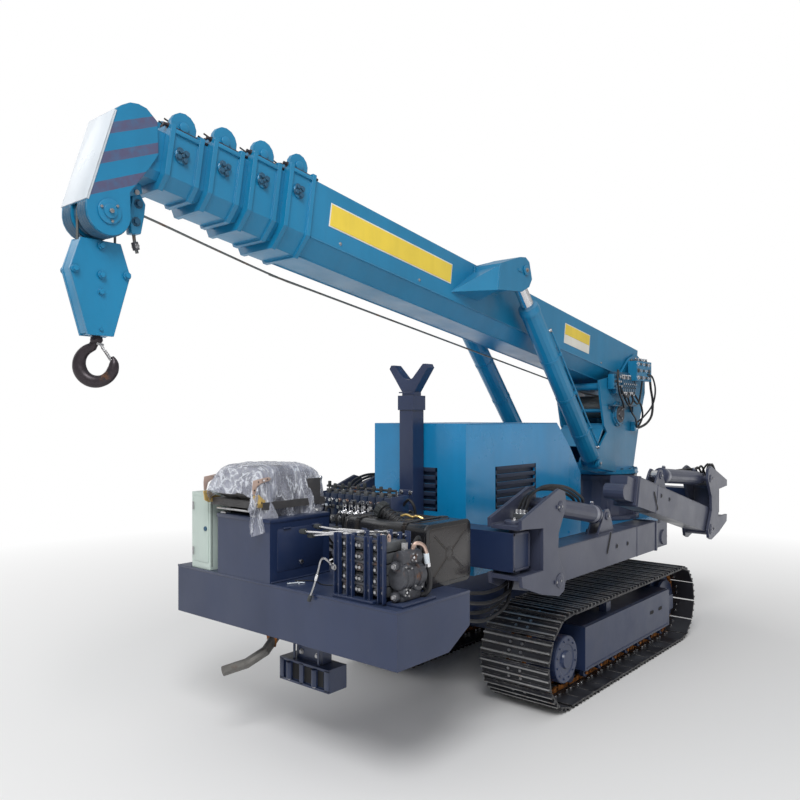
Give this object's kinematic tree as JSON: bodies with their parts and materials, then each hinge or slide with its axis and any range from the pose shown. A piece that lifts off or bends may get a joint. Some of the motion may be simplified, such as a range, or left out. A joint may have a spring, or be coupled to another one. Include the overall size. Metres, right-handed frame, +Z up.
{
  "type": "spider crane",
  "caption": "Compact tracked crane with a telescopic boom on a slewing column, lift cylinders, a hook block and folding outriggers.",
  "frame": {"origin": "middle of the overall bounding box, on the ground under the tracks", "axes": "+Z up, the boom and the front deck point along -Y, the machine's left side is +X"},
  "size_m": [1.512, 5.0614, 2.7894],
  "materials": {
    "boom_paint": "glossy teal blue paint",
    "cover_paint": "glossy bright blue paint",
    "navy_paint": "satin navy paint",
    "outrigger_paint": "satin grey violet paint",
    "track_steel": "oiled dark steel",
    "chrome_rod": "polished",
    "bare_steel": "satin",
    "tank_paint": "glossy black paint",
    "pale_paint": "satin pale green paint",
    "seat_vinyl": "matte",
    "engine_casting": "matte",
    "hook_forging": "semi-gloss black",
    "exhaust_rust": "rusted"
  },
  "bodies": {
    "machine": {"chassis_frame": "navy_paint", "base_platform": "cover_paint", "track_left": "track_steel", "track_right": "track_steel", "track_frame_left": "navy_paint", "track_frame_right": "navy_paint", "front_deck": "navy_paint", "seat_box": "navy_paint", "side_cabinet": "pale_paint", "seat_base": "seat_vinyl", "seat_cushion": "seat_vinyl", "lever_stand": "navy_paint", "hydraulic_motor": "navy_paint", "valve_bank": "navy_paint", "fuel_tank": "tank_paint", "boom_rest": "navy_paint", "engine_cover": "cover_paint", "engine": "engine_casting", "exhaust_pipe": "exhaust_rust", "tow_hitch": "navy_paint", "slew_pedestal": "outrigger_paint"},
    "turret": {"turret": "boom_paint", "crane_valve_block": "boom_paint", "winch_frame": "boom_paint"},
    "winch_drum": {"winch_drum": "bare_steel"},
    "boom_section_1": {"boom_section_1": "boom_paint"},
    "boom_section_2": {"boom_section_2": "boom_paint"},
    "boom_section_3": {"boom_section_3": "boom_paint"},
    "boom_section_4": {"boom_section_4": "boom_paint"},
    "boom_section_5": {"boom_section_5": "boom_paint"},
    "head_sheave": {"head_sheave": "bare_steel"},
    "hook_block": {"hook_block": "boom_paint", "rope_falls": "bare_steel"},
    "hook": {"hook": "hook_forging"},
    "lift_barrel_left": {"lift_barrel_left": "boom_paint"},
    "lift_rod_left": {"lift_rod_left": "chrome_rod"},
    "lift_barrel_right": {"lift_barrel_right": "boom_paint"},
    "lift_rod_right": {"lift_rod_right": "chrome_rod"},
    "outrigger_front_left_yoke": {"outrigger_front_left_yoke": "outrigger_paint"},
    "outrigger_front_left_arm": {"outrigger_front_left_arm": "outrigger_paint"},
    "outrigger_front_left_leg": {"outrigger_front_left_leg": "outrigger_paint"},
    "outrigger_front_left_barrel": {"outrigger_front_left_barrel": "outrigger_paint"},
    "outrigger_front_left_rod": {"outrigger_front_left_rod": "chrome_rod"},
    "outrigger_front_right_yoke": {"outrigger_front_right_yoke": "outrigger_paint"},
    "outrigger_front_right_arm": {"outrigger_front_right_arm": "outrigger_paint"},
    "outrigger_front_right_leg": {"outrigger_front_right_leg": "outrigger_paint"},
    "outrigger_front_right_barrel": {"outrigger_front_right_barrel": "outrigger_paint"},
    "outrigger_front_right_rod": {"outrigger_front_right_rod": "chrome_rod"},
    "outrigger_rear_left_yoke": {"outrigger_rear_left_yoke": "outrigger_paint"},
    "outrigger_rear_left_arm": {"outrigger_rear_left_arm": "outrigger_paint"},
    "outrigger_rear_left_leg": {"outrigger_rear_left_leg": "outrigger_paint"},
    "outrigger_rear_left_barrel": {"outrigger_rear_left_barrel": "outrigger_paint"},
    "outrigger_rear_left_rod": {"outrigger_rear_left_rod": "chrome_rod"},
    "outrigger_rear_right_yoke": {"outrigger_rear_right_yoke": "outrigger_paint"},
    "outrigger_rear_right_arm": {"outrigger_rear_right_arm": "outrigger_paint"},
    "outrigger_rear_right_leg": {"outrigger_rear_right_leg": "outrigger_paint"},
    "outrigger_rear_right_barrel": {"outrigger_rear_right_barrel": "outrigger_paint"},
    "outrigger_rear_right_rod": {"outrigger_rear_right_rod": "chrome_rod"}
  },
  "joints": [
    {"name": "slew", "type": "hinge", "parent": "machine", "child": "turret", "pos_m": [0, 1.7707, 1.14], "axis": [0, 0, 1], "continuous": true},
    {"name": "winch_spin", "type": "hinge", "parent": "turret", "child": "winch_drum", "pos_m": [0, 1.7007, 1.66], "axis": [1, 0, 0], "continuous": true},
    {"name": "boom_luff", "type": "hinge", "parent": "turret", "child": "boom_section_1", "pos_m": [0, 2.0307, 1.96], "axis": [-1, 0, 0], "range_deg": [-2.5, 63]},
    {"name": "telescope_2", "type": "slide", "parent": "boom_section_1", "child": "boom_section_2", "axis": [0, -0.9893, 0.1461], "range_m": [0, 2.5]},
    {"name": "telescope_3", "type": "slide", "parent": "boom_section_2", "child": "boom_section_3", "axis": [0, -0.9893, 0.1461], "range_m": [0, 2.5]},
    {"name": "telescope_4", "type": "slide", "parent": "boom_section_3", "child": "boom_section_4", "axis": [0, -0.9893, 0.1461], "range_m": [0, 2.5]},
    {"name": "telescope_5", "type": "slide", "parent": "boom_section_4", "child": "boom_section_5", "axis": [0, -0.9893, 0.1461], "range_m": [0, 2.5]},
    {"name": "head_sheave_spin", "type": "hinge", "parent": "boom_section_5", "child": "head_sheave", "pos_m": [0, -2.4132, 2.32813], "axis": [1, 0, 0], "continuous": true},
    {"name": "hook_block_plumb", "type": "hinge", "parent": "boom_section_5", "child": "hook_block", "pos_m": [0, -2.4132, 2.32813], "axis": [-1, 0, 0], "range_deg": [-63.5, 3]},
    {"name": "hook_swivel", "type": "hinge", "parent": "hook_block", "child": "hook", "pos_m": [0, -2.4132, 1.88113], "axis": [0, 0, 1], "continuous": true},
    {"name": "lift_swing_left", "type": "hinge", "parent": "turret", "child": "lift_barrel_left", "pos_m": [0.254, 1.1557, 1.255], "axis": [-1, 0, 0], "range_deg": [-3, 51]},
    {"name": "lift_extend_left", "type": "slide", "parent": "lift_barrel_left", "child": "lift_rod_left", "axis": [0, -0.6631, 0.7485], "range_m": [-0.06, 1.11]},
    {"name": "lift_swing_right", "type": "hinge", "parent": "turret", "child": "lift_barrel_right", "pos_m": [-0.254, 1.1557, 1.255], "axis": [-1, 0, 0], "range_deg": [-3, 51]},
    {"name": "lift_extend_right", "type": "slide", "parent": "lift_barrel_right", "child": "lift_rod_right", "axis": [0, -0.6631, 0.7485], "range_m": [-0.06, 1.11]},
    {"name": "outrigger_front_left_swing", "type": "hinge", "parent": "machine", "child": "outrigger_front_left_yoke", "pos_m": [0.65, -0.5393, 0.9], "axis": [0, 0, -1], "range_deg": [0, 135]},
    {"name": "outrigger_front_left_lower", "type": "hinge", "parent": "outrigger_front_left_yoke", "child": "outrigger_front_left_arm", "pos_m": [0.65, -0.2493, 0.72], "axis": [-1, 0, 0], "range_deg": [0, 20.6]},
    {"name": "outrigger_front_left_ram_tilt", "type": "hinge", "parent": "outrigger_front_left_yoke", "child": "outrigger_front_left_barrel", "pos_m": [0.65, -0.2393, 1.11], "axis": [-1, 0, 0], "range_deg": [0, 17.48]},
    {"name": "outrigger_front_left_leg_slide", "type": "slide", "parent": "outrigger_front_left_arm", "child": "outrigger_front_left_leg", "axis": [0, 1, 0], "range_m": [0, 0.452]},
    {"name": "outrigger_front_left_ram_extend", "type": "slide", "parent": "outrigger_front_left_barrel", "child": "outrigger_front_left_rod", "axis": [0, 0.984, -0.1783], "range_m": [0, 0.1345]},
    {"name": "outrigger_front_right_swing", "type": "hinge", "parent": "machine", "child": "outrigger_front_right_yoke", "pos_m": [-0.65, -0.5393, 0.9], "axis": [0, 0, 1], "range_deg": [0, 135]},
    {"name": "outrigger_front_right_lower", "type": "hinge", "parent": "outrigger_front_right_yoke", "child": "outrigger_front_right_arm", "pos_m": [-0.65, -0.2493, 0.72], "axis": [-1, 0, 0], "range_deg": [0, 20.6]},
    {"name": "outrigger_front_right_ram_tilt", "type": "hinge", "parent": "outrigger_front_right_yoke", "child": "outrigger_front_right_barrel", "pos_m": [-0.65, -0.2393, 1.11], "axis": [-1, 0, 0], "range_deg": [0, 17.48]},
    {"name": "outrigger_front_right_leg_slide", "type": "slide", "parent": "outrigger_front_right_arm", "child": "outrigger_front_right_leg", "axis": [0, 1, 0], "range_m": [0, 0.452]},
    {"name": "outrigger_front_right_ram_extend", "type": "slide", "parent": "outrigger_front_right_barrel", "child": "outrigger_front_right_rod", "axis": [0, 0.984, -0.1783], "range_m": [0, 0.1345]},
    {"name": "outrigger_rear_left_swing", "type": "hinge", "parent": "machine", "child": "outrigger_rear_left_yoke", "pos_m": [0.65, 2.4307, 0.9], "axis": [0, 0, 1], "range_deg": [0, 135]},
    {"name": "outrigger_rear_left_lower", "type": "hinge", "parent": "outrigger_rear_left_yoke", "child": "outrigger_rear_left_arm", "pos_m": [0.65, 2.1407, 0.72], "axis": [1, 0, 0], "range_deg": [0, 34]},
    {"name": "outrigger_rear_left_ram_tilt", "type": "hinge", "parent": "outrigger_rear_left_yoke", "child": "outrigger_rear_left_barrel", "pos_m": [0.65, 2.1307, 1.11], "axis": [1, 0, 0], "range_deg": [0, 31.71]},
    {"name": "outrigger_rear_left_leg_slide", "type": "slide", "parent": "outrigger_rear_left_arm", "child": "outrigger_rear_left_leg", "axis": [0, -0.9728, 0.2317], "range_m": [0, 0.452]},
    {"name": "outrigger_rear_left_ram_extend", "type": "slide", "parent": "outrigger_rear_left_barrel", "child": "outrigger_rear_left_rod", "axis": [0, -0.9966, 0.0819], "range_m": [0, 0.2263]},
    {"name": "outrigger_rear_right_swing", "type": "hinge", "parent": "machine", "child": "outrigger_rear_right_yoke", "pos_m": [-0.65, 2.4307, 0.9], "axis": [0, 0, -1], "range_deg": [0, 135]},
    {"name": "outrigger_rear_right_lower", "type": "hinge", "parent": "outrigger_rear_right_yoke", "child": "outrigger_rear_right_arm", "pos_m": [-0.65, 2.1407, 0.72], "axis": [1, 0, 0], "range_deg": [0, 34]},
    {"name": "outrigger_rear_right_ram_tilt", "type": "hinge", "parent": "outrigger_rear_right_yoke", "child": "outrigger_rear_right_barrel", "pos_m": [-0.65, 2.1307, 1.11], "axis": [1, 0, 0], "range_deg": [0, 31.71]},
    {"name": "outrigger_rear_right_leg_slide", "type": "slide", "parent": "outrigger_rear_right_arm", "child": "outrigger_rear_right_leg", "axis": [0, -0.9728, 0.2317], "range_m": [0, 0.452]},
    {"name": "outrigger_rear_right_ram_extend", "type": "slide", "parent": "outrigger_rear_right_barrel", "child": "outrigger_rear_right_rod", "axis": [0, -0.9966, 0.0819], "range_m": [0, 0.2263]}
  ],
  "couplings": [
    {"joint": "telescope_3", "follows": "telescope_2", "ratio": 1},
    {"joint": "telescope_4", "follows": "telescope_2", "ratio": 1},
    {"joint": "telescope_5", "follows": "telescope_2", "ratio": 1},
    {"joint": "hook_block_plumb", "follows": "boom_luff", "ratio": -1},
    {"joint": "lift_swing_left", "follows": "boom_luff", "ratio": 0.807},
    {"joint": "lift_extend_left", "follows": "boom_luff", "m_per_rad": 0.99},
    {"joint": "lift_swing_right", "follows": "boom_luff", "ratio": 0.807},
    {"joint": "lift_extend_right", "follows": "boom_luff", "m_per_rad": 0.99},
    {"joint": "outrigger_front_left_lower", "follows": "outrigger_front_left_swing", "ratio": 0.15185},
    {"joint": "outrigger_front_left_ram_tilt", "follows": "outrigger_front_left_swing", "ratio": 0.12877},
    {"joint": "outrigger_front_left_leg_slide", "follows": "outrigger_front_left_swing", "m_per_rad": 0.19099},
    {"joint": "outrigger_front_left_ram_extend", "follows": "outrigger_front_left_swing", "m_per_rad": 0.056222},
    {"joint": "outrigger_front_right_lower", "follows": "outrigger_front_right_swing", "ratio": 0.15185},
    {"joint": "outrigger_front_right_ram_tilt", "follows": "outrigger_front_right_swing", "ratio": 0.12877},
    {"joint": "outrigger_front_right_leg_slide", "follows": "outrigger_front_right_swing", "m_per_rad": 0.19099},
    {"joint": "outrigger_front_right_ram_extend", "follows": "outrigger_front_right_swing", "m_per_rad": 0.056222},
    {"joint": "outrigger_rear_left_lower", "follows": "outrigger_rear_left_swing", "ratio": 0.25111},
    {"joint": "outrigger_rear_left_ram_tilt", "follows": "outrigger_rear_left_swing", "ratio": 0.23412},
    {"joint": "outrigger_rear_left_leg_slide", "follows": "outrigger_rear_left_swing", "m_per_rad": 0.19099},
    {"joint": "outrigger_rear_left_ram_extend", "follows": "outrigger_rear_left_swing", "m_per_rad": 0.095199},
    {"joint": "outrigger_rear_right_lower", "follows": "outrigger_rear_right_swing", "ratio": 0.25111},
    {"joint": "outrigger_rear_right_ram_tilt", "follows": "outrigger_rear_right_swing", "ratio": 0.23412},
    {"joint": "outrigger_rear_right_leg_slide", "follows": "outrigger_rear_right_swing", "m_per_rad": 0.19099},
    {"joint": "outrigger_rear_right_ram_extend", "follows": "outrigger_rear_right_swing", "m_per_rad": 0.095199}
  ]
}
